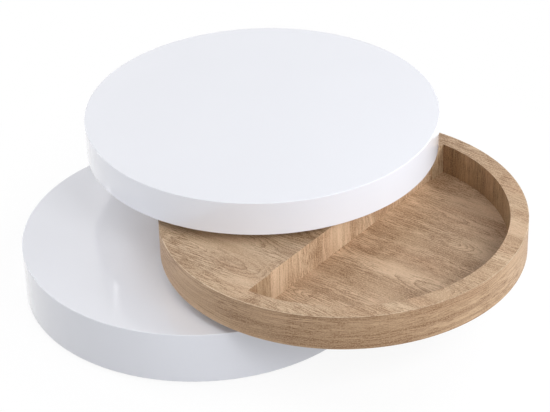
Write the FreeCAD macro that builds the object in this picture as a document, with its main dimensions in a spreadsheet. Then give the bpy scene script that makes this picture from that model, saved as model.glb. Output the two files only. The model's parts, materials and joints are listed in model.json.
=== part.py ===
import FreeCAD, Part
import math
import os
import Sketcher
from FreeCAD import Vector

# Low table of three equal round slabs that turn about one off-centre upright
# axis. Millimetres and degrees. The row frame has its origin on the floor,
# under the middle of the rest pose's box, with +Z up.

# The three slabs; a turn is the direction of a slab's centre seen from the axis
disc_radius = 400
swivel_inset = 225
base_turn = 185.6
middle_turn = -38.5
top_turn = 101
glide_height = 4
base_height = 120
middle_height = 79
top_height = 79
swivel_gap = 20

# Hollow lacquered shells of the base and the top
shell_top_thickness = 16
shell_wall = 12
edge_bevel = 1.5
panel_thickness = 6
panel_play = 0.5
rib_thickness = 12
rib_distance = 180
cross_rib_position = 20
rib_play = 0.5

# Boards that take the swivel rings
swivel_board_width = 300
swivel_board_thickness = 36

# Oak slab with its half-moon tray
deck_thickness = 8
edge_band_thickness = 2
rim_width = 39.5
tray_band_thickness = 4
tray_band_play = 0.1
tray_wall_distance = 193
facing_thickness = 1
wall_board_thickness = 16
wall_board_play = 2
front_fold_length = 76
back_fold_length = 45
fold_joint = 0.4

# Swivel rings: a flange that slides on a liner of flat pads, held down by a lipped ring
flange_radius = 130
flange_width = 12
flange_thickness = 6
collar_wall = 18
slide_pad_count = 8
slide_pad_length = 24
slide_pad_width = 20
slide_pad_thickness = 2
slide_pad_inset = 3
ring_wall = 18
ring_side_play = 0.5
lip_thickness = 6
lip_play = 0.5
lip_side_play = 0.5

# Square glides that the table stands on
glide_count = 6
glide_width = 30
glide_inset = 15

driving_sizes = {name: value for name, value in globals().items() if isinstance(value, (int, float))}

document = FreeCAD.newDocument("swivel_table")
sheet = document.addObject("Spreadsheet::Sheet", "Sizes")
cell_names = []


def write_cell(name, text):
    cell_names.append(name)
    row = len(cell_names)
    sheet.set("A%d" % row, name)
    sheet.set("B%d" % row, text)
    sheet.setAlias("B%d" % row, name)


def derive(name, formula):
    write_cell(name, "=" + formula)


for size_name, size_value in driving_sizes.items():
    write_cell(size_name, str(size_value))

# Levels above the floor
derive("base_floor", "glide_height")
derive("base_top", "base_floor + base_height")
derive("middle_floor", "base_top + swivel_gap")
derive("middle_top", "middle_floor + middle_height")
derive("top_floor", "middle_top + swivel_gap")

# The swivel axis and the centres of the slabs, in the row frame
derive("swivel_offset", "disc_radius - swivel_inset")
for slab in ("base", "middle", "top"):
    derive(slab + "_reach_x", "swivel_offset * cos(%s_turn)" % slab)
    derive(slab + "_reach_y", "swivel_offset * sin(%s_turn)" % slab)
for side in ("x", "y"):
    reaches = "base_reach_%s; middle_reach_%s; top_reach_%s" % (side, side, side)
    derive("least_reach_" + side, "min(%s)" % reaches)
    derive("most_reach_" + side, "max(%s)" % reaches)
    derive("swivel_" + side, "-(least_reach_%s + most_reach_%s) / 2" % (side, side))
    for slab in ("base", "middle", "top"):
        derive("%s_%s" % (slab, side), "swivel_%s + %s_reach_%s" % (side, slab, side))

# Shells, panels, ribs and boards
derive("shell_inner_radius", "disc_radius - shell_wall")
derive("shell_panel_radius", "shell_inner_radius - panel_play")
derive("base_ceiling", "base_height - shell_top_thickness")
derive("top_ceiling", "top_height - shell_top_thickness")
derive("base_cavity", "base_ceiling - panel_thickness")
derive("top_cavity", "top_ceiling - panel_thickness")
derive("base_board_floor", "base_ceiling - swivel_board_thickness")
derive("half_board", "swivel_board_width / 2")
derive("board_notch_left", "-swivel_offset - half_board - rib_play")
derive("board_notch_right", "-swivel_offset + half_board + rib_play")
derive("board_notch_side", "half_board + rib_play")
derive("half_rib", "rib_thickness / 2")
derive("rib_side_near", "rib_distance - half_rib")
derive("rib_side_far", "rib_distance + half_rib")
derive("cross_rib_near", "cross_rib_position - half_rib")
derive("cross_rib_far", "cross_rib_position + half_rib")
derive("second_rib_near", "cross_rib_near + rib_distance")
derive("second_rib_far", "cross_rib_far + rib_distance")
derive("rib_end_radius", "shell_inner_radius - rib_play")
derive("trim_radius", "2 * disc_radius")

# Oak slab
derive("deck_radius", "disc_radius - edge_band_thickness")
derive("tray_radius", "disc_radius - rim_width")
derive("tray_band_radius", "tray_radius + tray_band_thickness")
derive("frame_inner_radius", "tray_band_radius + tray_band_play")
derive("deck_floor", "middle_height - deck_thickness")
derive("middle_cavity", "deck_floor - panel_thickness")
derive("wall_height", "middle_height - panel_thickness")
derive("chord_offset", "tray_wall_distance - swivel_offset")
derive("wall_face", "chord_offset - facing_thickness")
derive("wall_back", "wall_face - wall_board_thickness")
derive("fold_face", "wall_face + tray_band_thickness")
derive("wall_side", "max(abs(wall_face); abs(wall_back))")
derive("wall_board_reach", "sqrt(frame_inner_radius^2 - wall_side^2) - wall_board_play")
derive("tray_corner", "sqrt(tray_radius^2 - fold_face^2)")
derive("front_fold_end", "tray_corner - front_fold_length")
derive("back_fold_end", "tray_corner - back_fold_length")
derive("facing_front", "front_fold_end - fold_joint")
derive("facing_back", "back_fold_end - fold_joint")
derive("middle_rib_end", "wall_back - rib_play")
derive("middle_rib_radius", "frame_inner_radius - rib_play")

# Swivel rings, measured from the top of the slab below them
derive("flange_floor", "slide_pad_thickness")
derive("flange_top", "flange_floor + flange_thickness")
derive("slide_pad_far", "flange_radius - slide_pad_inset")
derive("slide_pad_near", "slide_pad_far - slide_pad_length")
derive("half_slide_pad", "slide_pad_width / 2")
derive("collar_outer_radius", "flange_radius - flange_width")
derive("collar_inner_radius", "collar_outer_radius - collar_wall")
derive("ring_inner_radius", "flange_radius + ring_side_play")
derive("ring_outer_radius", "ring_inner_radius + ring_wall")
derive("lip_radius", "collar_outer_radius + lip_side_play")
derive("lip_floor", "flange_top + lip_play")
derive("lip_top", "lip_floor + lip_thickness")

# Glides
derive("glide_far", "disc_radius - glide_inset")
derive("glide_near", "glide_far - glide_width")
derive("half_glide", "glide_width / 2")
document.recompute()


def number(name):
    """The value of a cell, of its negative, or of a plain zero."""
    if name == "0":
        return 0.0
    sign = -1.0 if name.startswith("-") else 1.0
    return sign * float(sheet.get(name.lstrip("-")))


def reference(name):
    sign = "-" if name.startswith("-") else ""
    return sign + "Sizes." + name.lstrip("-")


bodies = []


def new_body(label, centre, level, turning_slab=""):
    """A body at a slab's centre or the swivel axis, turned as its level's or a named slab is."""
    body = document.addObject("PartDesign::Body", label)
    body.Label = label
    body.AllowCompound = True
    slab = turning_slab or level.split("_")[0]
    place = "placement(vector(Sizes.%s_x; Sizes.%s_y; %s); rotation(vector(0; 0; 1); %s))"
    values = (centre, centre, reference(level), reference(slab + "_turn"))
    body.setExpression("Placement", place % values)
    bodies.append(body)
    return body


def origin_part(body, role):
    return next(item for item in body.Origin.OriginFeatures if item.Role == role)


def new_sketch(body, plane, level=""):
    sketch = body.newObject("Sketcher::SketchObject", body.Name + "_sketch")
    sketch.AttachmentSupport = [(origin_part(body, plane), "")]
    sketch.MapMode = "FlatFace"
    if level:
        sketch.setExpression("AttachmentOffset.Base.z", reference(level))
    return sketch


def fix_point(sketch, geometry, position, x, y):
    """Ties a point to named distances from the sketch's origin."""
    for name, kind, axis in ((x, "DistanceX", -2), (y, "DistanceY", -1)):
        if name == "0":
            sketch.addConstraint(Sketcher.Constraint("PointOnObject", geometry, position, axis))
            continue
        rule = Sketcher.Constraint(kind, -1, 1, geometry, position, number(name))
        index = sketch.addConstraint(rule)
        sketch.setExpression("Constraints[%d]" % index, reference(name))


def fix_radius(sketch, geometry, radius):
    index = sketch.addConstraint(Sketcher.Constraint("Radius", geometry, number(radius)))
    sketch.setExpression("Constraints[%d]" % index, reference(radius))


def draw_circle(sketch, radius):
    curve = Part.Circle(Vector(0, 0, 0), Vector(0, 0, 1), number(radius))
    geometry = sketch.addGeometry(curve)
    fix_point(sketch, geometry, 3, "0", "0")
    fix_radius(sketch, geometry, radius)


def draw_polygon(sketch, *corners):
    points = [Vector(number(x), number(y), 0) for x, y in corners]
    lines = []
    for start, end in zip(points, points[1:] + points[:1]):
        lines.append(sketch.addGeometry(Part.LineSegment(start, end)))
    for line, following in zip(lines, lines[1:] + lines[:1]):
        sketch.addConstraint(Sketcher.Constraint("Coincident", line, 2, following, 1))
    for line, (x, y) in zip(lines, corners):
        fix_point(sketch, line, 1, x, y)


def draw_rectangle(sketch, left, right, low, high):
    draw_polygon(sketch, (left, low), (right, low), (right, high), (left, high))


def draw_half_moon(sketch, radius, chord):
    """A circle's share beyond an upright chord, on the +X side."""
    reach = number(radius)
    angle = math.acos(number(chord) / reach)
    circle = Part.Circle(Vector(0, 0, 0), Vector(0, 0, 1), reach)
    arc = sketch.addGeometry(Part.ArcOfCircle(circle, -angle, angle))
    low = Vector(number(chord), -reach * math.sin(angle), 0)
    high = Vector(number(chord), reach * math.sin(angle), 0)
    line = sketch.addGeometry(Part.LineSegment(high, low))
    sketch.addConstraint(Sketcher.Constraint("Coincident", arc, 3, -1, 1))
    fix_radius(sketch, arc, radius)
    sketch.addConstraint(Sketcher.Constraint("Coincident", arc, 2, line, 1))
    sketch.addConstraint(Sketcher.Constraint("Coincident", line, 2, arc, 1))
    sketch.addConstraint(Sketcher.Constraint("Vertical", line))
    rule = Sketcher.Constraint("DistanceX", -1, 1, line, 1, number(chord))
    index = sketch.addConstraint(rule)
    sketch.setExpression("Constraints[%d]" % index, reference(chord))


def extrude(body, kind, sketch, length, upward):
    feature = body.newObject("PartDesign::" + kind, body.Name + "_" + kind.lower())
    feature.Profile = sketch
    feature.Reversed = upward
    feature.setExpression("Length", reference(length))
    document.recompute()
    return feature


def pad(body, sketch, length):
    return extrude(body, "Pad", sketch, length, False)


def cut_up(body, sketch, length):
    return extrude(body, "Pocket", sketch, length, True)


def revolve(body, sketch):
    """Spins a profile about its sketch's upright axis."""
    feature = body.newObject("PartDesign::Revolution", body.Name + "_revolution")
    feature.Profile = sketch
    feature.ReferenceAxis = (sketch, ["V_Axis"])
    feature.Angle = 360
    document.recompute()
    return feature


def is_upper_rim(edge, height):
    """True for the full circle of the slab's own radius at its upper face."""
    round_edge = isinstance(edge.Curve, Part.Circle) and math.isclose(edge.Curve.Radius, disc_radius)
    return round_edge and math.isclose(edge.Curve.Center.z, height)


def bevel_upper_rim(body, height):
    base = body.Tip
    edges = enumerate(base.Shape.Edges, 1)
    names = ["Edge%d" % index for index, edge in edges if is_upper_rim(edge, number(height))]
    bevel = body.newObject("PartDesign::Chamfer", body.Name + "_bevel")
    bevel.Base = (base, names)
    bevel.setExpression("Size", reference("edge_bevel"))
    document.recompute()


def ring_of_pads(body, near, far, half_width, thickness, count, level=""):
    """Square-cut pads set evenly round the body's upright axis."""
    sketch = new_sketch(body, "XY_Plane", level)
    draw_rectangle(sketch, near, far, "-" + half_width, half_width)
    first_pad = pad(body, sketch, thickness)
    pattern = body.newObject("PartDesign::PolarPattern", body.Name + "_pattern")
    pattern.Originals = [first_pad]
    pattern.Axis = (origin_part(body, "Z_Axis"), [""])
    pattern.Angle = 360
    pattern.setExpression("Occurrences", reference(count))
    body.Tip = pattern
    document.recompute()


# Lacquered shells, open below
def lacquered_shell(label, slab, height, ceiling):
    body = new_body(label, slab, slab + "_floor")
    sketch = new_sketch(body, "XZ_Plane")
    draw_polygon(
        sketch,
        ("0", height),
        ("disc_radius", height),
        ("disc_radius", "0"),
        ("shell_inner_radius", "0"),
        ("shell_inner_radius", ceiling),
        ("0", ceiling),
    )
    revolve(body, sketch)
    bevel_upper_rim(body, height)


lacquered_shell("base_shell", "base", "base_height", "base_ceiling")
lacquered_shell("top_shell", "top", "top_height", "top_ceiling")


# Round panels, plain or ring-shaped
def round_plate(label, slab, level, thickness, outer_radius, inner_radius=""):
    body = new_body(label, slab, slab + "_floor")
    sketch = new_sketch(body, "XY_Plane", level)
    draw_circle(sketch, outer_radius)
    if inner_radius:
        draw_circle(sketch, inner_radius)
    pad(body, sketch, thickness)


round_plate("base_bottom_panel", "base", "", "panel_thickness", "shell_panel_radius")
round_plate("top_bottom_panel", "top", "", "panel_thickness", "shell_panel_radius")
round_plate("middle_floor_panel", "middle", "", "panel_thickness", "deck_radius")
round_plate(
    "middle_frame_ring",
    "middle",
    "panel_thickness",
    "middle_cavity",
    "deck_radius",
    "frame_inner_radius",
)
round_plate("middle_edge_band", "middle", "", "middle_height", "disc_radius", "deck_radius")


# Ribs that hold the panel and the upper sheet apart
def trim_round(body, radius, cavity):
    rim = new_sketch(body, "XY_Plane", "panel_thickness")
    draw_circle(rim, radius)
    draw_circle(rim, "trim_radius")
    cut_up(body, rim, cavity)


def notch_for_board(body, level, thickness):
    notch = new_sketch(body, "XY_Plane", level)
    sides = ("board_notch_left", "board_notch_right", "-board_notch_side", "board_notch_side")
    draw_rectangle(notch, *sides)
    cut_up(body, notch, thickness)


def shell_ribs(label, slab, cavity, board_level):
    body = new_body(label, slab, slab + "_floor")
    along = new_sketch(body, "XY_Plane", "panel_thickness")
    draw_rectangle(along, "-disc_radius", "disc_radius", "-half_rib", "half_rib")
    draw_rectangle(along, "-disc_radius", "disc_radius", "rib_side_near", "rib_side_far")
    draw_rectangle(along, "-disc_radius", "disc_radius", "-rib_side_far", "-rib_side_near")
    pad(body, along, cavity)
    across = new_sketch(body, "XY_Plane", "panel_thickness")
    draw_rectangle(across, "cross_rib_near", "cross_rib_far", "-disc_radius", "disc_radius")
    draw_rectangle(across, "second_rib_near", "second_rib_far", "-disc_radius", "disc_radius")
    pad(body, across, cavity)
    trim_round(body, "rib_end_radius", cavity)
    notch_for_board(body, board_level, "swivel_board_thickness")


shell_ribs("base_ribs", "base", "base_cavity", "base_board_floor")
shell_ribs("top_ribs", "top", "top_cavity", "panel_thickness")

middle_ribs = new_body("middle_ribs", "middle", "middle_floor")
rib_sketch = new_sketch(middle_ribs, "XY_Plane", "panel_thickness")
draw_rectangle(rib_sketch, "-disc_radius", "middle_rib_end", "rib_side_near", "rib_side_far")
draw_rectangle(rib_sketch, "-disc_radius", "middle_rib_end", "-rib_side_far", "-rib_side_near")
pad(middle_ribs, rib_sketch, "middle_cavity")
trim_round(middle_ribs, "middle_rib_radius", "middle_cavity")


# Square boards behind the swivel rings
def swivel_board(label, slab, level, thickness):
    body = new_body(label, "swivel", slab + "_floor")
    sketch = new_sketch(body, "XY_Plane", level)
    draw_rectangle(sketch, "-half_board", "half_board", "-half_board", "half_board")
    pad(body, sketch, thickness)


swivel_board("base_swivel_board", "base", "base_board_floor", "swivel_board_thickness")
swivel_board("middle_swivel_block", "middle", "panel_thickness", "middle_cavity")
swivel_board("top_swivel_board", "top", "panel_thickness", "swivel_board_thickness")

# Oak slab: deck, tray wall, its facing, and the band with folded ends
deck = new_body("middle_deck", "middle", "middle_floor")
deck_sketch = new_sketch(deck, "XY_Plane", "deck_floor")
draw_circle(deck_sketch, "deck_radius")
draw_half_moon(deck_sketch, "frame_inner_radius", "wall_face")
pad(deck, deck_sketch, "deck_thickness")

wall_board = new_body("tray_wall_board", "middle", "middle_floor")
board_sketch = new_sketch(wall_board, "XY_Plane", "panel_thickness")
draw_rectangle(board_sketch, "wall_back", "wall_face", "-wall_board_reach", "wall_board_reach")
pad(wall_board, board_sketch, "middle_cavity")

facing = new_body("tray_wall_facing", "middle", "middle_floor")
facing_sketch = new_sketch(facing, "XY_Plane", "panel_thickness")
draw_rectangle(facing_sketch, "wall_face", "chord_offset", "-facing_front", "facing_back")
pad(facing, facing_sketch, "wall_height")

tray_band = new_body("tray_band", "middle", "middle_floor")
outer_moon = new_sketch(tray_band, "XY_Plane", "panel_thickness")
draw_half_moon(outer_moon, "tray_band_radius", "wall_face")
pad(tray_band, outer_moon, "wall_height")
inner_moon = new_sketch(tray_band, "XY_Plane", "panel_thickness")
draw_half_moon(inner_moon, "tray_radius", "fold_face")
cut_up(tray_band, inner_moon, "wall_height")
fold_gap = new_sketch(tray_band, "XY_Plane", "panel_thickness")
draw_rectangle(fold_gap, "-disc_radius", "fold_face", "-front_fold_end", "back_fold_end")
cut_up(tray_band, fold_gap, "wall_height")


# Swivel rings between two slabs
def swivel_ring(label, lower_slab, turning_slab, *corners):
    """A ring that stands on the lower slab's top and turns with either slab."""
    body = new_body(label, "swivel", lower_slab + "_top", turning_slab)
    sketch = new_sketch(body, "XZ_Plane")
    draw_polygon(sketch, *corners)
    revolve(body, sketch)


def swivel_unit(prefix, lower_slab, upper_slab):
    liner = new_body(prefix + "_slide_liner", "swivel", lower_slab + "_top")
    ring_of_pads(
        liner,
        "slide_pad_near",
        "slide_pad_far",
        "half_slide_pad",
        "slide_pad_thickness",
        "slide_pad_count",
    )
    swivel_ring(
        prefix + "_swivel_collar",
        lower_slab,
        upper_slab,
        ("collar_inner_radius", "flange_floor"),
        ("flange_radius", "flange_floor"),
        ("flange_radius", "flange_top"),
        ("collar_outer_radius", "flange_top"),
        ("collar_outer_radius", "swivel_gap"),
        ("collar_inner_radius", "swivel_gap"),
    )
    swivel_ring(
        prefix + "_retaining_ring",
        lower_slab,
        lower_slab,
        ("ring_inner_radius", "0"),
        ("ring_outer_radius", "0"),
        ("ring_outer_radius", "lip_top"),
        ("lip_radius", "lip_top"),
        ("lip_radius", "lip_floor"),
        ("ring_inner_radius", "lip_floor"),
    )


swivel_unit("lower", "base", "middle")
swivel_unit("upper", "middle", "top")

# Glides under the base
glides = new_body("base_glides", "base", "base_floor")
ring_of_pads(
    glides,
    "glide_near",
    "glide_far",
    "half_glide",
    "glide_height",
    "glide_count",
    "-glide_height",
)

document.recompute()
for item in document.Objects:
    if "Invalid" in item.State or "Error" in item.State:
        raise RuntimeError("feature failed: " + item.Label)
for body in bodies:
    shape = body.Shape
    if shape.isNull() or not shape.isValid() or not shape.Solids:
        raise RuntimeError("bad shape: " + body.Label)

os.makedirs("parts", exist_ok=True)
for body in bodies:
    body.Shape.exportStep(os.path.join("parts", body.Label + ".step"))
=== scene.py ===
import json
import math

import bmesh
import bpy
from mathutils import Matrix, Vector


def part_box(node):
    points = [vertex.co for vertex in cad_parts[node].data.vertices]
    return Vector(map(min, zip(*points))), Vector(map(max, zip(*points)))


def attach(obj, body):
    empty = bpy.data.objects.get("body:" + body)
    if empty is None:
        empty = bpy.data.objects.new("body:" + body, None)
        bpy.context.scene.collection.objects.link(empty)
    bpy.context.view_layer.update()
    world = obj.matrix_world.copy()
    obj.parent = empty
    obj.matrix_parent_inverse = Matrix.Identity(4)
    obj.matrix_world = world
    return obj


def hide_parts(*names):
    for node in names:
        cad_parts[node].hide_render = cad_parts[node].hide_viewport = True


# Finishes, rounded shells and small hardware for the swivel coffee table.
# Metres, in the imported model's own frame.
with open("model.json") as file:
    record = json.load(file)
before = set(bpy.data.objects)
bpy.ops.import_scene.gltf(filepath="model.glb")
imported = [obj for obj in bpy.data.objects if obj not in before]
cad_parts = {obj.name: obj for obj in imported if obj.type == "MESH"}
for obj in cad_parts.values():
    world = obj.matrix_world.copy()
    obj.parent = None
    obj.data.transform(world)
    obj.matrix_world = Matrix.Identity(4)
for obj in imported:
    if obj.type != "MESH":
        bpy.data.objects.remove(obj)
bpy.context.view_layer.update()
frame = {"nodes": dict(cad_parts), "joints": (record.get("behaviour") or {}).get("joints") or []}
bpy.context.scene.view_settings.view_transform = "Standard"

# The camera stands in front of the table and looks down at it
camera_place = (0.0086, -3.8557, 2.5765)
camera_tilt = 32.17
camera_roll = -1.67
camera_lens = 133.0
camera_reach = 50

# Lacquered slabs
upper_rounding = 0.0018
lower_rounding = 0.0015
shell_wall = 0.012
shell_top_thickness = 0.016
cap_inset = 0.012

# Oak slab
rim_width = 0.0395
edge_band_thickness = 0.002
band_thickness = 0.004
band_play = 0.0001
facing_thickness = 0.001
front_fold_length = 0.076
back_fold_length = 0.045
arris = 0.0005

# Swivel rings
ring_wall = 0.018
ring_lip_thickness = 0.006
ring_side_play = 0.0005
flange_width = 0.012
flange_thickness = 0.006
metal_rounding = 0.0008

# Screws, with the parts of a head as shares of its radius or height
ring_screw_count = 8
ring_screw_radius = 0.0045
ring_screw_height = 0.0018
panel_screw_count = 10
panel_screw_radius = 0.004
panel_screw_height = 0.0008
panel_screw_inset = 0.006
head_top = 0.8
head_rim = 0.3
socket_corner = 0.46
socket_depth = 0.7

# Glides
glide_count = 6
glide_width = 0.030
glide_inset = 0.015
glide_corner = 0.005

# How finely the round shapes are divided
round_steps = 256
ring_steps = 128
screw_steps = 24
upper_rounding_steps = 5
lower_rounding_steps = 3
arris_steps = 2
metal_rounding_steps = 2
glide_corner_steps = 4
sharp_angle = math.radians(35)
merge_distance = 1e-6


# Camera
def add_camera():
    data = bpy.data.cameras.new("camera")
    data.lens = camera_lens
    data.clip_end = camera_reach
    camera = bpy.data.objects.new("camera", data)
    bpy.context.scene.collection.objects.link(camera)
    tilt = Matrix.Rotation(math.radians(90 - camera_tilt), 4, "X")
    roll = Matrix.Rotation(math.radians(camera_roll), 4, "Z")
    camera.matrix_world = Matrix.Translation(camera_place) @ tilt @ roll
    bpy.context.scene.camera = camera


add_camera()


# Places and sizes of the slabs
def disc_of(node):
    """Centre, outer radius, floor and top level of a round node."""
    low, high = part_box(node)
    return (low + high) / 2, (high.x - low.x) / 2, low.z, high.z


swivel_axis = Vector(frame["joints"][0]["pos_m"])


def turned_place(centre):
    """The frame of a slab: its centre on the floor, with +X away from the swivel axis."""
    reach = centre - swivel_axis
    turn = Matrix.Rotation(math.atan2(reach.y, reach.x), 4, "Z")
    return Matrix.Translation((centre.x, centre.y, 0)) @ turn


base_centre, base_radius, base_floor, _ = disc_of("base_shell")
middle_centre, band_radius, middle_floor, middle_top = disc_of("middle_edge_band")
top_centre, top_radius, top_floor, _ = disc_of("top_shell")
slab_places = {
    "base": turned_place(base_centre),
    "middle": turned_place(middle_centre),
    "top": turned_place(top_centre),
}
swivel_place = Matrix.Translation((swivel_axis.x, swivel_axis.y, 0))

# Sizes of the oak slab and its tray, in the slab's own frame
panel_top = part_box("middle_floor_panel")[1].z
deck_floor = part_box("middle_deck")[0].z
deck_radius = band_radius - edge_band_thickness
tray_radius = band_radius - rim_width
opening_radius = tray_radius + band_thickness + band_play
facing_low, facing_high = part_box("tray_wall_facing")
facing_middle = slab_places["middle"].inverted() @ ((facing_low + facing_high) / 2)
chord_face = facing_middle.x + facing_thickness / 2
wall_face = facing_middle.x - facing_thickness / 2
fold_face = wall_face + band_thickness
tray_corner = math.sqrt(tray_radius**2 - fold_face**2)
front_fold_end = tray_corner - front_fold_length
back_fold_end = tray_corner - back_fold_length


# Colours and shader nodes
def colour(red, green, blue):
    """A linear colour from 0 to 255 values of a colour chart."""
    shares = [value / 255 for value in (red, green, blue)]
    linear = [s / 12.92 if s <= 0.04045 else ((s + 0.055) / 1.055) ** 2.4 for s in shares]
    return (*linear, 1.0)


def add_node(tree, kind, inputs, **settings):
    """Adds a shader node. An input is a plain value or another node's output."""
    made = tree.nodes.new(kind)
    for name, value in settings.items():
        setattr(made, name, value)
    for socket, value in inputs.items():
        if isinstance(value, bpy.types.NodeSocket):
            tree.links.new(value, made.inputs[socket])
        else:
            made.inputs[socket].default_value = value
    return made


class Finish:
    """A new material with a principled shader, and short ways to add its pattern."""

    def __init__(self, name):
        self.material = bpy.data.materials.new(name)
        self.material.use_nodes = True
        self.tree = self.material.node_tree
        self.shader = self.tree.nodes["Principled BSDF"]

    def node(self, kind, inputs, **settings):
        return add_node(self.tree, kind, inputs, **settings)

    def place(self):
        """Metres on the table."""
        return self.node("ShaderNodeTexCoord", {}).outputs["Object"]

    def grain(self):
        """Metres along and across the grain."""
        return self.node("ShaderNodeUVMap", {}, uv_map="grain").outputs["UV"]

    def scaled(self, vector, scale, shift=(0, 0, 0)):
        inputs = {"Vector": vector, "Scale": scale, "Location": shift}
        return self.node("ShaderNodeMapping", inputs).outputs["Vector"]

    def noise(self, vector, scale, detail=3.0, roughness=0.5):
        inputs = {"Vector": vector, "Scale": scale, "Detail": detail, "Roughness": roughness}
        return self.node("ShaderNodeTexNoise", inputs).outputs["Fac"]

    def drawn_noise(self, vector, along, across, detail=2.0, roughness=0.5, shift=(0, 0, 0)):
        """Noise drawn out with the grain, with so many cells a metre along and across it."""
        return self.noise(self.scaled(vector, (along, across, 1), shift), 1.0, detail, roughness)

    def ranged(self, value, low, high, to_low=0.0, to_high=1.0):
        inputs = {0: value, 1: low, 2: high, 3: to_low, 4: to_high}
        return self.node("ShaderNodeMapRange", inputs).outputs["Result"]

    def math(self, operation, first, second=0.0):
        return self.node("ShaderNodeMath", {0: first, 1: second}, operation=operation).outputs["Value"]

    def plus(self, first, second):
        return self.math("ADD", first, second)

    def minus(self, first, second):
        return self.math("SUBTRACT", first, second)

    def times(self, first, second):
        return self.math("MULTIPLY", first, second)

    def length(self, vector):
        return self.node("ShaderNodeVectorMath", {0: vector}, operation="LENGTH").outputs["Value"]

    def joined(self, x, y, z=0.0):
        return self.node("ShaderNodeCombineXYZ", {0: x, 1: y, 2: z}).outputs[0]

    def mix(self, share, first, second):
        """A colour between two others; 6 and 7 are the node's colour inputs, 2 its colour output."""
        return self.node("ShaderNodeMix", {0: share, 6: first, 7: second}, data_type="RGBA").outputs[2]

    def bump(self, height, strength, distance):
        inputs = {"Height": height, "Strength": strength, "Distance": distance}
        normal = self.node("ShaderNodeBump", inputs).outputs["Normal"]
        self.tree.links.new(normal, self.shader.inputs["Normal"])

    def surface(self, colour_socket, roughness_socket, **plain):
        """Ends the finish; plain values go to the shader's own sockets."""
        self.tree.links.new(colour_socket, self.shader.inputs["Base Color"])
        self.tree.links.new(roughness_socket, self.shader.inputs["Roughness"])
        for name, value in plain.items():
            self.shader.inputs[name.replace("_", " ")].default_value = value


# Lacquer
def gloss_lacquer():
    """White polyester lacquer: a deep gloss with the faintest ripple and shade."""
    finish = Finish("gloss_lacquer")
    place = finish.place()
    cloud = finish.noise(place, 2.5, 2.0)
    shade = finish.mix(cloud, colour(231, 232, 238), colour(237, 238, 244))
    speck = finish.noise(place, 900.0, 1.0)
    dust = finish.ranged(speck, 0.74, 0.80, 0.0, 0.05)
    tint = finish.mix(dust, shade, colour(205, 205, 208))
    wipe = finish.noise(finish.scaled(place, (1, 4, 1)), 6.0, 4.0, 0.6)
    roughness = finish.ranged(wipe, 0.3, 0.7, 0.07, 0.12)
    ripple = finish.noise(place, 130.0, 2.0)
    finish.bump(ripple, 0.02, 0.0004)
    finish.surface(tint, roughness, Coat_Weight=0.5, Coat_Roughness=0.03, IOR=1.5)
    return finish.material


# Printed oak boards, each sawn at its own height through the rings of a log
board_width = 0.085
board_shift = 5.7
height_drift = 2.0
height_middle = 0.42
height_range = 0.30
ring_spread = 1.6
ring_waver = 0.006
rings_per_metre = 110.0
late_wood_narrowing = 4.0
slow_sway = 0.016
quick_sway = 0.003


def growth_rings(finish, along, across, waver):
    """Late wood of the rings, from how far each point is from the middle of its board's log."""
    count = finish.times(across, 1 / board_width)
    board_number = finish.math("FLOOR", count)
    side = finish.times(finish.minus(finish.math("FRACT", count), 0.5), board_width)
    log = finish.joined(finish.times(along, height_drift), finish.times(board_number, board_shift))
    height = finish.times(finish.minus(finish.noise(log, 1.0, 2.0), height_middle), height_range)
    reach = finish.length(finish.joined(finish.times(side, ring_spread), height))
    rippled = finish.plus(reach, finish.times(waver, ring_waver))
    rings = finish.math("FRACT", finish.times(rippled, rings_per_metre))
    return finish.math("POWER", rings, late_wood_narrowing)


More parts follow.
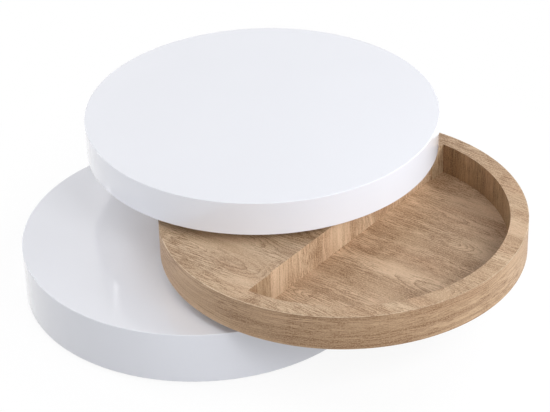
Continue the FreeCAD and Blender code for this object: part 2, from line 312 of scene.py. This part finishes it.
def oak(name, pale, brown, streak, shift, figure=0.0, broad=0.45, fine=0.25, satin=0.44):
    """Printed oak boards; figure, broad and fine are the strengths of rings, streaks and threads."""
    finish = Finish(name)
    grain = finish.scaled(finish.grain(), (1, 1, 1), shift)
    parts = finish.node("ShaderNodeSeparateXYZ", {0: grain}).outputs
    slow = finish.drawn_noise(grain, 6, 14)
    quick = finish.drawn_noise(grain, 36, 90)
    sway = finish.plus(finish.times(slow, slow_sway), finish.times(quick, quick_sway))
    along = parts["X"]
    across = finish.plus(parts["Y"], sway)
    wavy = finish.joined(along, across)

    # Patterns, from broad to fine, and where they are strong or broken off
    shade = finish.drawn_noise(wavy, 2.2, 15, 3.0)
    warmth = finish.drawn_noise(wavy, 4, 13, shift=(1, 4, 0))
    stripe = finish.drawn_noise(wavy, 1.6, 46, 3.0, 0.6)
    thread = finish.drawn_noise(wavy, 3.0, 220, 3.0, 0.6, (2, 7, 0))
    dash = finish.drawn_noise(wavy, 30, 400, 3.0, 0.65)
    pore = finish.ranged(finish.drawn_noise(wavy, 150, 1000, 1.0), 0.60, 0.70)
    fleck = finish.drawn_noise(grain, 260, 420)
    late_wood = growth_rings(finish, along, across, quick)
    hair = finish.ranged(finish.math("ABSOLUTE", finish.minus(shade, 0.5)), 0.002, 0.012, 1.0, 0.0)
    strength = finish.drawn_noise(grain, 5, 13, shift=(5, 3, 0))
    broken = finish.drawn_noise(grain, 6, 10, 1.0, shift=(3, 1, 0))
    gaps = finish.ranged(broken, 0.34, 0.56, 0.1, broad)
    busy = finish.ranged(broken, 0.36, 0.58, 0.2, 1.1)

    # How much each of them shows
    warm_patches = finish.ranged(warmth, 0.48, 0.66, 0.0, 0.4)
    dark_streaks = finish.times(finish.ranged(stripe, 0.52, 0.70), gaps)
    pale_streaks = finish.ranged(stripe, 0.30, 0.44, 0.5 * broad, 0.0)
    dark_threads = finish.ranged(thread, 0.50, 0.68, 0.0, fine)
    pale_threads = finish.ranged(thread, 0.32, 0.44, 0.6 * fine, 0.0)
    strong_rings = finish.times(late_wood, finish.ranged(strength, 0.49, 0.57))
    strong_hairs = finish.times(hair, finish.ranged(strength, 0.44, 0.56))
    dashes = finish.times(finish.ranged(dash, 0.47, 0.60, 0.0, 0.95), busy)
    pale_flecks = finish.ranged(fleck, 0.48, 0.62, 0.0, 0.55)

    layers = [
        (warm_patches, oak_warm),
        (dark_streaks, streak),
        (pale_streaks, pale),
        (dark_threads, streak),
        (pale_threads, pale),
        (finish.times(strong_rings, figure), streak),
        (finish.times(strong_hairs, 0.6 * figure), streak),
        (dashes, streak),
        (finish.times(pore, 0.6), streak),
        (pale_flecks, pale),
    ]
    body = finish.mix(finish.ranged(shade, 0.40, 0.60), pale, brown)
    for share, tint in layers:
        body = finish.mix(share, body, tint)
    roughness = finish.ranged(dash, 0.3, 0.7, satin, satin + 0.16)
    relief = finish.minus(finish.times(dash, -0.5), pore)
    finish.bump(relief, 0.5, 0.0003)
    finish.surface(body, roughness, Specular_IOR_Level=0.6)
    return finish.material


# Boards, metals and plastics
def chip_board():
    """Raw particle board inside the slabs."""
    finish = Finish("chip_board")
    place = finish.place()
    inputs = {"Vector": place, "Scale": 420.0}
    chips = finish.node("ShaderNodeTexVoronoi", inputs).outputs["Color"]
    level = finish.node("ShaderNodeSeparateColor", {0: chips}).outputs["Red"]
    shade = finish.mix(level, colour(196, 166, 122), colour(146, 112, 74))
    cloud = finish.noise(place, 12.0)
    shade = finish.mix(finish.ranged(cloud, 0.4, 0.7, 0.0, 0.3), shade, colour(120, 92, 62))
    finish.bump(level, 0.5, 0.0005)
    finish.surface(shade, finish.ranged(cloud, 0.3, 0.7, 0.75, 0.9))
    return finish.material


def white_board():
    """Melamine-faced panel under the slabs, with a faint pearl grain."""
    finish = Finish("white_board")
    place = finish.place()
    pearl = finish.noise(place, 700.0, 2.0, 0.6)
    cloud = finish.noise(place, 5.0)
    shade = finish.mix(cloud, colour(216, 215, 212), colour(228, 227, 224))
    shade = finish.mix(finish.ranged(pearl, 0.55, 0.75, 0.0, 0.25), shade, colour(196, 195, 192))
    finish.bump(pearl, 0.15, 0.0002)
    finish.surface(shade, finish.ranged(pearl, 0.3, 0.7, 0.42, 0.56))
    return finish.material


def turned_aluminium():
    """Swivel rings with the fine circles that turning leaves."""
    finish = Finish("turned_aluminium")
    place = finish.scaled(finish.place(), (1, 1, 1), (-swivel_axis.x, -swivel_axis.y, 0))
    flat = finish.node("ShaderNodeVectorMath", {0: place, 1: (1, 1, 0)}, operation="MULTIPLY")
    height = finish.node("ShaderNodeSeparateXYZ", {0: place}).outputs["Z"]
    circles = finish.joined(finish.length(flat.outputs[0]), height)
    turning = finish.noise(circles, 2600.0, 2.0, 0.6)
    cloud = finish.noise(place, 14.0)
    shade = finish.mix(turning, colour(176, 178, 182), colour(205, 207, 210))
    shade = finish.mix(finish.ranged(cloud, 0.4, 0.7, 0.0, 0.25), shade, colour(158, 160, 164))
    finish.bump(turning, 0.12, 0.0001)
    finish.surface(shade, finish.ranged(turning, 0.3, 0.7, 0.24, 0.38), Metallic=1.0)
    return finish.material


def zinc_steel():
    """Zinc-plated screws."""
    finish = Finish("zinc_steel")
    place = finish.place()
    cloud = finish.noise(place, 220.0)
    fine = finish.noise(place, 2400.0, 2.0)
    shade = finish.mix(cloud, colour(168, 170, 172), colour(140, 142, 148))
    finish.bump(fine, 0.1, 0.0001)
    finish.surface(shade, finish.ranged(cloud, 0.3, 0.7, 0.26, 0.4), Metallic=1.0)
    return finish.material


def moulded_plastic(name, light, dark, roughness):
    """Matte moulded plastic with a faint spark texture."""
    finish = Finish(name)
    place = finish.place()
    spark = finish.noise(place, 1500.0, 2.0, 0.6)
    cloud = finish.noise(place, 20.0)
    shade = finish.mix(cloud, light, dark)
    finish.bump(spark, 0.2, 0.0001)
    finish.surface(shade, finish.ranged(spark, 0.3, 0.7, roughness, roughness + 0.12))
    return finish.material


# The table's finishes
lacquer = gloss_lacquer()
board = chip_board()
panel_white = white_board()
aluminium = turned_aluminium()
steel = zinc_steel()
slide_plastic = moulded_plastic("slide_plastic", colour(226, 224, 214), colour(212, 209, 198), 0.4)
glide_plastic = moulded_plastic("glide_plastic", colour(92, 88, 84), colour(74, 70, 67), 0.5)

oak_pale = colour(214, 188, 158)
oak_brown = colour(182, 152, 122)
oak_streak = colour(125, 91, 60)
oak_warm = colour(184, 143, 112)
# Paler than the deck's pale oak: painted light that lifts the shade on the tray floor
tray_floor_lit_pale = colour(222, 193, 162)
wall_pale = colour(216, 188, 158)
# Darker oak for the tray's curved inner wall, darker than its folds: painted shade inside the tray
shaded_band_pale = colour(173, 142, 106)
shaded_band_brown = colour(136, 103, 72)
shaded_band_streak = colour(92, 68, 44)
fold_pale = colour(192, 168, 138)
fold_brown = colour(157, 132, 103)
# Darker than the deck's oak: painted shade on the edging's upright side
shaded_edge_pale = colour(194, 163, 130)
shaded_edge_brown = colour(165, 134, 102)
# Paler oak for the edging's level and arris faces: a painted highlight along its edge
arris_highlight_pale = colour(218, 195, 167)
arris_highlight_brown = colour(202, 178, 150)
deck_spot = (1.3, 3.9, 0)
floor_spot = (5.7, 2.8, 0)
wall_spot = (4.0, 8.7, 0)
band_spot = (3.0, 6.5, 0)
edge_spot = (1.0, 5.6, 0)
oak_sheet = oak("oak_sheet", oak_pale, oak_brown, oak_streak, deck_spot, figure=1.0, broad=0.65)
oak_floor = oak("oak_floor", tray_floor_lit_pale, oak_brown, oak_streak, floor_spot, figure=1.0, broad=0.65)
oak_wall = oak("oak_wall", wall_pale, oak_brown, oak_streak, wall_spot, fine=0.65)
oak_shaded_band = oak("oak_shaded_band", shaded_band_pale, shaded_band_brown, shaded_band_streak, band_spot, fine=0.75)
oak_fold = oak("oak_fold", fold_pale, fold_brown, oak_streak, band_spot, broad=0.4, fine=1.0)
oak_edge = oak("oak_edge", shaded_edge_pale, shaded_edge_brown, oak_streak, edge_spot, broad=0.7, fine=0.9, satin=0.42)
oak_arris_highlight = oak("oak_arris_highlight", arris_highlight_pale, arris_highlight_brown, oak_streak, edge_spot, broad=0.2, fine=0.3)


# Making and finishing pieces
def finish_piece(name, shape, place, body, materials, nodes=()):
    """Turns a bmesh into a piece in the row frame that rides on a body."""
    bmesh.ops.remove_doubles(shape, verts=shape.verts, dist=merge_distance)
    bmesh.ops.transform(shape, matrix=place, verts=shape.verts)
    bmesh.ops.recalc_face_normals(shape, faces=shape.faces)
    mesh = bpy.data.meshes.new(name)
    shape.to_mesh(mesh)
    shape.free()
    mesh.shade_smooth()
    mesh.set_sharp_from_angle(angle=sharp_angle)
    for material in materials:
        mesh.materials.append(material)
    piece = bpy.data.objects.new(name, mesh)
    bpy.context.scene.collection.objects.link(piece)
    weighted = piece.modifiers.new("flat_faces", "WEIGHTED_NORMAL")
    weighted.keep_sharp = True
    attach(piece, body)
    if nodes:
        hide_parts(*nodes)


def profile_wire(shape, corners, closed=True):
    """Vertices at the corners, given as radius and height, joined in the XZ plane."""
    points = [shape.verts.new((radius, 0, height)) for radius, height in corners]
    for pair in zip(points, points[1:]):
        shape.edges.new(pair)
    if closed:
        shape.edges.new((points[-1], points[0]))
    return points


def round_corners(shape, points, rounding, steps):
    """Rounds a profile at some of its points."""
    bmesh.ops.bevel(
        shape,
        geom=points,
        offset=rounding,
        offset_type="OFFSET",
        affect="VERTICES",
        segments=steps,
        profile=0.5,
        material=-1,
    )


def spin_round(shape, steps, turn=math.tau):
    """Spins all of a shape round the upright axis."""
    bmesh.ops.spin(
        shape,
        geom=shape.verts[:] + shape.edges[:] + shape.faces[:],
        cent=(0, 0, 0),
        axis=(0, 0, 1),
        dvec=(0, 0, 0),
        angle=turn,
        steps=steps,
        use_merge=turn == math.tau,
        use_duplicate=False,
    )


def raise_sheet(shape, floor, top):
    """Gives a flat sheet its thickness and lifts it to its level."""
    raised = bmesh.ops.extrude_face_region(shape, geom=shape.faces[:])
    points = [item for item in raised["geom"] if isinstance(item, bmesh.types.BMVert)]
    bmesh.ops.translate(shape, vec=(0, 0, top - floor), verts=points)
    bmesh.ops.translate(shape, vec=(0, 0, floor), verts=shape.verts)


# Which way the grain runs, and how far a level face and one of an arris look up or down
level_slope = 0.9
arris_slope = 0.3


def lay_grain(shape, grain_of):
    """Writes the grain map: metres along the grain, then metres across it."""
    layer = shape.loops.layers.uv.new("grain")
    for face in shape.faces:
        for loop in face.loops:
            loop[layer].uv = grain_of(loop.vert.co, face)


def flat_grain(point, face):
    """Grain along the slab's own X axis."""
    return (point.x, point.y)


def hoop_angle(point, face):
    """A point's angle round the slab, kept beside its face's middle."""
    middle = face.calc_center_median()
    middle_angle = math.atan2(middle.y, middle.x)
    turn = math.atan2(point.y, point.x) - middle_angle
    return middle_angle + math.remainder(turn, math.tau)


def hoop_grain(point, face):
    """Grain that runs round the slab's edge."""
    return (hoop_angle(point, face) * band_radius, point.z + math.hypot(point.x, point.y))


def is_level(face):
    return abs(face.normal.z) > level_slope


def is_straight_wall(face):
    """Tells the folds and the facing from the curved wall of the tray."""
    return face.calc_center_median().x < fold_face + band_thickness


def wall_grain(point, face):
    """Upright grain on the walls of the tray, and the deck's own grain on their top."""
    if is_level(face):
        return flat_grain(point, face)
    if is_straight_wall(face):
        return (point.z, point.y)
    return (point.z, hoop_angle(point, face) * tray_radius)


# Lacquered shells, open below
def lacquered_shell(name, slab, node):
    """A top and side in one skin, rounded at both rims."""
    _, radius, floor, top = disc_of(node)
    inner = radius - shell_wall
    ceiling = top - shell_top_thickness
    cap = inner - cap_inset
    corners = [
        (cap, ceiling),
        (inner, ceiling),
        (inner, floor),
        (radius, floor),
        (radius, top),
        (cap, top),
    ]
    shape = bmesh.new()
    points = profile_wire(shape, corners, closed=False)
    lower, upper = points[3], points[4]
    round_corners(shape, [lower], lower_rounding, lower_rounding_steps)
    round_corners(shape, [upper], upper_rounding, upper_rounding_steps)
    spin_round(shape, round_steps)
    bmesh.ops.holes_fill(shape, edges=[edge for edge in shape.edges if edge.is_boundary])
    finish_piece(name, shape, slab_places[slab], slab, [lacquer], [node])


lacquered_shell("base_lacquered_drum", "base", "base_shell")
lacquered_shell("top_lacquered_disc", "top", "top_shell")


# Oak slab
def oak_piece(name, shape, materials, node):
    """A finished piece of the oak slab, in place of one node."""
    finish_piece(name, shape, slab_places["middle"], "middle", materials, [node])


def half_moon_outline(shape, radius, chord):
    """The outline of a circle's share beyond an upright chord."""
    bmesh.ops.create_circle(shape, segments=round_steps, radius=radius)
    cut = bmesh.ops.bisect_plane(
        shape,
        geom=shape.verts[:] + shape.edges[:],
        plane_co=(chord, 0, 0),
        plane_no=(-1, 0, 0),
        clear_outer=True,
    )
    ends = [item for item in cut["geom_cut"] if isinstance(item, bmesh.types.BMVert)]
    shape.edges.new(ends)


def oak_deck():
    """The deck, with the tray's half-moon opening."""
    shape = bmesh.new()
    half_moon_outline(shape, opening_radius, wall_face)
    bmesh.ops.create_circle(shape, segments=round_steps, radius=deck_radius)
    bmesh.ops.triangle_fill(shape, edges=shape.edges[:], use_beauty=True)
    raise_sheet(shape, deck_floor, middle_top)
    lay_grain(shape, flat_grain)
    oak_piece("oak_deck", shape, [oak_sheet], "middle_deck")


def oak_edge_band():
    """The outer edging, whose level and arris faces are paler as a painted highlight."""
    corners = [
        (deck_radius, middle_floor),
        (band_radius, middle_floor),
        (band_radius, middle_top),
        (deck_radius, middle_top),
    ]
    shape = bmesh.new()
    points = profile_wire(shape, corners)
    round_corners(shape, points[1:3], arris, arris_steps)
    spin_round(shape, round_steps)
    lay_grain(shape, hoop_grain)
    shape.normal_update()
    # Faces that look up or down take the paler oak of the painted highlight
    for face in shape.faces:
        face.material_index = int(abs(face.normal.z) > arris_slope)
    oak_piece("oak_edge_band", shape, [oak_edge, oak_arris_highlight], "middle_edge_band")


def tray_floor():
    """The tray's floor, which is the slab's underside as well."""
    shape = bmesh.new()
    bmesh.ops.create_circle(shape, cap_ends=True, segments=round_steps, radius=deck_radius)
    raise_sheet(shape, middle_floor, panel_top)
    lay_grain(shape, flat_grain)
    oak_piece("oak_tray_floor", shape, [oak_floor], "middle_floor_panel")


def upright_plate(shape, x_low, x_high, y_low, y_high):
    """A thin plate that stands on the tray floor."""
    cube = bmesh.ops.create_cube(shape, size=1.0)["verts"]
    size = Vector((x_high - x_low, y_high - y_low, middle_top - panel_top))
    middle = Vector((x_high + x_low, y_high + y_low, middle_top + panel_top)) / 2
    bmesh.ops.scale(shape, vec=size, verts=cube)
    bmesh.ops.translate(shape, vec=middle, verts=cube)


def tray_band():
    """The curved inner band of the tray, with its two ends folded onto the straight wall."""
    outer = tray_radius + band_thickness
    reach = math.sqrt(outer**2 - fold_face**2)
    start = math.asin(fold_face / tray_radius) - math.pi / 2
    corners = [
        (tray_radius, panel_top),
        (outer, panel_top),
        (outer, middle_top),
        (tray_radius, middle_top),
    ]
    shape = bmesh.new()
    points = profile_wire(shape, corners)
    shape.faces.new(points)
    bmesh.ops.rotate(shape, cent=(0, 0, 0), matrix=Matrix.Rotation(start, 3, "Z"), verts=points)
    spin_round(shape, round_steps // 2, -2 * start)
    upright_plate(shape, wall_face, fold_face, -reach, -front_fold_end)
    upright_plate(shape, wall_face, fold_face, back_fold_end, reach)
    bmesh.ops.recalc_face_normals(shape, faces=shape.faces)
    lay_grain(shape, wall_grain)
    # The curved wall keeps the darker oak of painted shade; level faces and folds take their own oak
    materials = [oak_shaded_band, oak_sheet, oak_fold]
    for face in shape.faces:
        if is_level(face):
            face.material_index = materials.index(oak_sheet)
        elif is_straight_wall(face):
            face.material_index = materials.index(oak_fold)
    oak_piece("oak_tray_band", shape, materials, "tray_band")


def tray_facing():
    """The thin facing on the straight wall, between the folds."""
    shape = bmesh.new()
    front_end = band_play - front_fold_end
    back_end = back_fold_end - band_play
    upright_plate(shape, wall_face, chord_face, front_end, back_end)
    shape.normal_update()
    lay_grain(shape, wall_grain)
    for face in shape.faces:
        face.material_index = int(is_level(face))
    oak_piece("oak_wall_facing", shape, [oak_wall, oak_sheet], "tray_wall_facing")


oak_deck()
oak_edge_band()
tray_floor()
tray_band()
tray_facing()


# Swivel rings
def turned_ring(name, body, node, corners):
    """A ring turned from a profile, with its edges rounded."""
    shape = bmesh.new()
    points = profile_wire(shape, corners)
    round_corners(shape, points, metal_rounding, metal_rounding_steps)
    spin_round(shape, ring_steps)
    finish_piece(name, shape, swivel_place, body, [aluminium], [node])


def screw_head(shape, radius, height, place):
    """A low round head with a hexagonal socket, on its side of a face."""
    made = bmesh.ops.create_cone(
        shape,
        cap_ends=True,
        segments=screw_steps,
        radius1=radius,
        radius2=radius * head_top,
        depth=height,
    )
    points = made["verts"]
    bmesh.ops.translate(shape, vec=(0, 0, height / 2), verts=points)
    socket = max(points[-1].link_faces, key=lambda face: face.calc_center_median().z)
    inset = bmesh.ops.inset_individual(shape, faces=[socket], thickness=radius * head_rim)
    hexagon_step = math.tau / 6
    for point in socket.verts:
        angle = math.atan2(point.co.y, point.co.x) % hexagon_step - hexagon_step / 2
        reach = radius * socket_corner * math.cos(hexagon_step / 2) / math.cos(angle)
        flat = Vector((point.co.x, point.co.y, 0)).normalized() * reach
        point.co.x, point.co.y = flat.x, flat.y
    sunk = bmesh.ops.extrude_face_region(shape, geom=[socket])
    lowered = [item for item in sunk["geom"] if isinstance(item, bmesh.types.BMVert)]
    bmesh.ops.translate(shape, vec=(0, 0, -height * socket_depth), verts=lowered)
    bmesh.ops.delete(shape, geom=[socket], context="FACES_ONLY")
    rim = [point for face in inset["faces"] for point in face.verts]
    whole = list(dict.fromkeys(points + rim + lowered))
    bmesh.ops.transform(shape, matrix=place, verts=whole)


def screw_ring(name, body, centre_place, radius, level, count, head_radius, head_height, down=False):
    """Screws set evenly on a circle, with their heads up or down."""
    shape = bmesh.new()
    for index in range(count):
        turn = Matrix.Rotation(math.tau * (index + 0.5) / count, 4, "Z")
        flip = Matrix.Rotation(math.pi if down else 0.0, 4, "X")
        place = turn @ Matrix.Translation((radius, 0, level)) @ flip
        screw_head(shape, head_radius, head_height, place)
    finish_piece(name, shape, centre_place, body, [steel])


def swivel_unit(prefix, lower_body, upper_body):
    """A lipped retaining ring with its screws, and the flanged collar that turns in it."""
    _, ring_outer, ring_floor, ring_top = disc_of(prefix + "_retaining_ring")
    _, _, collar_floor, collar_top = disc_of(prefix + "_swivel_collar")
    ring_inner = ring_outer - ring_wall
    flange_radius = ring_inner - ring_side_play
    collar_outer = flange_radius - flange_width
    collar_inner = collar_outer - ring_wall
    lip = collar_outer + ring_side_play
    lip_floor = ring_top - ring_lip_thickness
    flange_top = collar_floor + flange_thickness
    ring_corners = [
        (ring_inner, ring_floor),
        (ring_outer, ring_floor),
        (ring_outer, ring_top),
        (lip, ring_top),
        (lip, lip_floor),
        (ring_inner, lip_floor),
    ]
    collar_corners = [
        (collar_inner, collar_floor),
        (flange_radius, collar_floor),
        (flange_radius, flange_top),
        (collar_outer, flange_top),
        (collar_outer, collar_top),
        (collar_inner, collar_top),
    ]
    turned_ring(prefix + "_turned_ring", lower_body, prefix + "_retaining_ring", ring_corners)
    turned_ring(prefix + "_turned_collar", upper_body, prefix + "_swivel_collar", collar_corners)
    screw_ring(
        prefix + "_ring_screws",
        lower_body,
        swivel_place,
        ring_outer - ring_wall / 2,
        ring_top,
        ring_screw_count,
        ring_screw_radius,
        ring_screw_height,
    )


swivel_unit("lower", "base", "middle")
swivel_unit("upper", "middle", "top")


# Panel screws under the three slabs, and the glides
def panel_screws(slab, radius, level):
    screw_ring(
        slab + "_panel_screws",
        slab,
        slab_places[slab],
        radius - shell_wall - panel_screw_inset,
        level,
        panel_screw_count,
        panel_screw_radius,
        panel_screw_height,
        down=True,
    )


panel_screws("base", base_radius, base_floor)
panel_screws("middle", band_radius, middle_floor)
panel_screws("top", top_radius, top_floor)


def is_upright(edge):
    """Tells a glide's upright edges, which are as long as the glide is high."""
    first, second = edge.verts
    return abs(first.co.z - second.co.z) > base_floor / 2


def glide_pads():
    """Square glides with rounded corners, on a circle under the base."""
    shape = bmesh.new()
    glide_circle = base_radius - glide_inset - glide_width / 2
    for index in range(glide_count):
        points = bmesh.ops.create_cube(shape, size=1.0)["verts"]
        bmesh.ops.scale(shape, vec=(glide_width, glide_width, base_floor), verts=points)
        edges = dict.fromkeys(edge for point in points for edge in point.link_edges)
        rounded = bmesh.ops.bevel(
            shape,
            geom=[edge for edge in edges if is_upright(edge)],
            offset=glide_corner,
            affect="EDGES",
            segments=glide_corner_steps,
            profile=0.5,
            material=-1,
        )
        corners = dict.fromkeys(point for face in rounded["faces"] for point in face.verts)
        turn = Matrix.Rotation(math.tau * index / glide_count, 4, "Z")
        place = turn @ Matrix.Translation((glide_circle, 0, base_floor / 2))
        bmesh.ops.transform(shape, matrix=place, verts=list(corners))
    finish_piece(
        "base_glide_pads",
        shape,
        slab_places["base"],
        "base",
        [glide_plastic],
        ["base_glides"],
    )


glide_pads()


# Finishes of the nodes that stay
def dress(material, *nodes):
    for name in nodes:
        frame["nodes"][name].material_slots[0].material = material


dress(panel_white, "base_bottom_panel", "top_bottom_panel")
dress(board, "base_ribs", "middle_ribs", "top_ribs", "middle_frame_ring", "tray_wall_board")
dress(board, "base_swivel_board", "middle_swivel_block", "top_swivel_board")
dress(slide_plastic, "lower_slide_liner", "upper_slide_liner")

# Floor, world and lamps
white = (1, 1, 1, 1)
floor_size = 12.0
floor_dark = colour(160, 160, 161)
floor_light = colour(164, 164, 165)
floor_glow = 0.88
glow_start = 0.55
glow_end = 0.95
world_light = 0.02
table_middle = (0.1, -0.1, 0.15)
slab_middle = (0.0, 0.0, 0.15)
cool_white = (0.94, 0.965, 1.0)


def seen_share(tree):
    """1 for what the camera, gloss and glass see, and 0 for light that lands on the table."""
    path = add_node(tree, "ShaderNodeLightPath", {}).outputs
    rays = {0: path["Is Camera Ray"], 1: path["Is Glossy Ray"]}
    seen = add_node(tree, "ShaderNodeMath", rays, operation="MAXIMUM").outputs["Value"]
    rays = {0: seen, 1: path["Is Transmission Ray"]}
    return add_node(tree, "ShaderNodeMath", rays, operation="MAXIMUM").outputs["Value"]


def show_mixed(tree, output, share, first, second):
    """Ends a material or a world with a mix of two shaders."""
    mixed = add_node(tree, "ShaderNodeMixShader", {0: share, 1: first, 2: second})
    tree.links.new(mixed.outputs[0], tree.nodes[output].inputs["Surface"])


def studio_floor():
    """A pale floor that turns to pure white away from the table, where it is seen."""
    finish = Finish("studio_floor")
    place = finish.place()
    cloud = finish.noise(place, 0.7, 2.0)
    seen = seen_share(finish.tree)
    shade = finish.mix(seen, finish.mix(cloud, floor_dark, floor_light), white)
    finish.surface(shade, finish.ranged(cloud, 0.3, 0.7, 0.9, 1.0), Specular_IOR_Level=0.0)
    glow = finish.node("ShaderNodeEmission", {"Color": white, "Strength": 1.0})
    far = finish.ranged(finish.length(place), glow_start, glow_end, floor_glow, 1.0)
    share = finish.times(seen, far)
    show_mixed(finish.tree, "Material Output", share, finish.shader.outputs[0], glow.outputs[0])
    shape = bmesh.new()
    bmesh.ops.create_grid(shape, x_segments=1, y_segments=1, size=floor_size)
    mesh = bpy.data.meshes.new("studio_floor")
    shape.to_mesh(mesh)
    shape.free()
    mesh.materials.append(finish.material)
    floor = bpy.data.objects.new("studio_floor", mesh)
    bpy.context.scene.collection.objects.link(floor)


def studio_world():
    """A world that looks white and sends only a little light."""
    world = bpy.data.worlds.new("studio")
    bpy.context.scene.world = world
    world.use_nodes = True
    tree = world.node_tree
    soft = tree.nodes["Background"]
    soft.inputs["Color"].default_value = white
    soft.inputs["Strength"].default_value = world_light
    bright = add_node(tree, "ShaderNodeBackground", {"Color": white, "Strength": 1.0})
    show_mixed(tree, "World Output", seen_share(tree), soft.outputs[0], bright.outputs[0])


def soft_lamp(name, place, aim, width, depth, watts, tint=(1, 1, 1), mirrored=False):
    """A rectangular lamp, which shows in the gloss only if it is a mirrored one."""
    data = bpy.data.lights.new(name, "AREA")
    data.color = tint
    data.shape = "RECTANGLE"
    data.size = width
    data.size_y = depth
    data.energy = watts
    lamp = bpy.data.objects.new(name, data)
    lamp.location = place
    lamp.rotation_euler = (Vector(aim) - Vector(place)).to_track_quat("-Z", "Y").to_euler()
    lamp.visible_camera = False
    lamp.visible_glossy = mirrored
    bpy.context.scene.collection.objects.link(lamp)


studio_floor()
studio_world()
soft_lamp("right_lamp", (2.4, -0.9, 1.5), table_middle, 1.5, 1.2, 32, cool_white)
soft_lamp("right_low_lamp", (2.6, -0.4, 0.7), table_middle, 1.0, 0.8, 12, cool_white)
soft_lamp("right_front_lamp", (2.7, -1.4, 0.8), table_middle, 1.2, 0.8, 11, cool_white)
soft_lamp("right_back_lamp", (2.0, 1.4, 1.6), table_middle, 1.4, 1.4, 30)
soft_lamp("high_left_lamp", (-1.4, 0.4, 2.2), table_middle, 1.4, 1.4, 16)
soft_lamp("left_back_lamp", (-2.6, 0.7, 1.3), table_middle, 1.4, 1.4, 15)
soft_lamp("slim_left_back_lamp", (-2.4, 1.2, 1.3), table_middle, 0.25, 1.2, 6, mirrored=True)
soft_lamp("low_back_lamp", (-1.2, 2.6, 0.6), (-0.1, 0.0, 0.12), 1.4, 0.6, 47)
soft_lamp("left_lamp", (-2.2, -1.8, 1.2), slab_middle, 1.5, 1.2, 11)
soft_lamp("left_low_lamp", (-2.5, -1.2, 0.6), table_middle, 1.2, 0.8, 4)
soft_lamp("high_front_right_lamp", (1.4, -2.2, 2.2), table_middle, 1.4, 1.4, 37)
soft_lamp("front_lamp", (-0.2, -3.0, 1.0), (0.0, -0.1, 0.15), 1.5, 1.2, 23, cool_white)
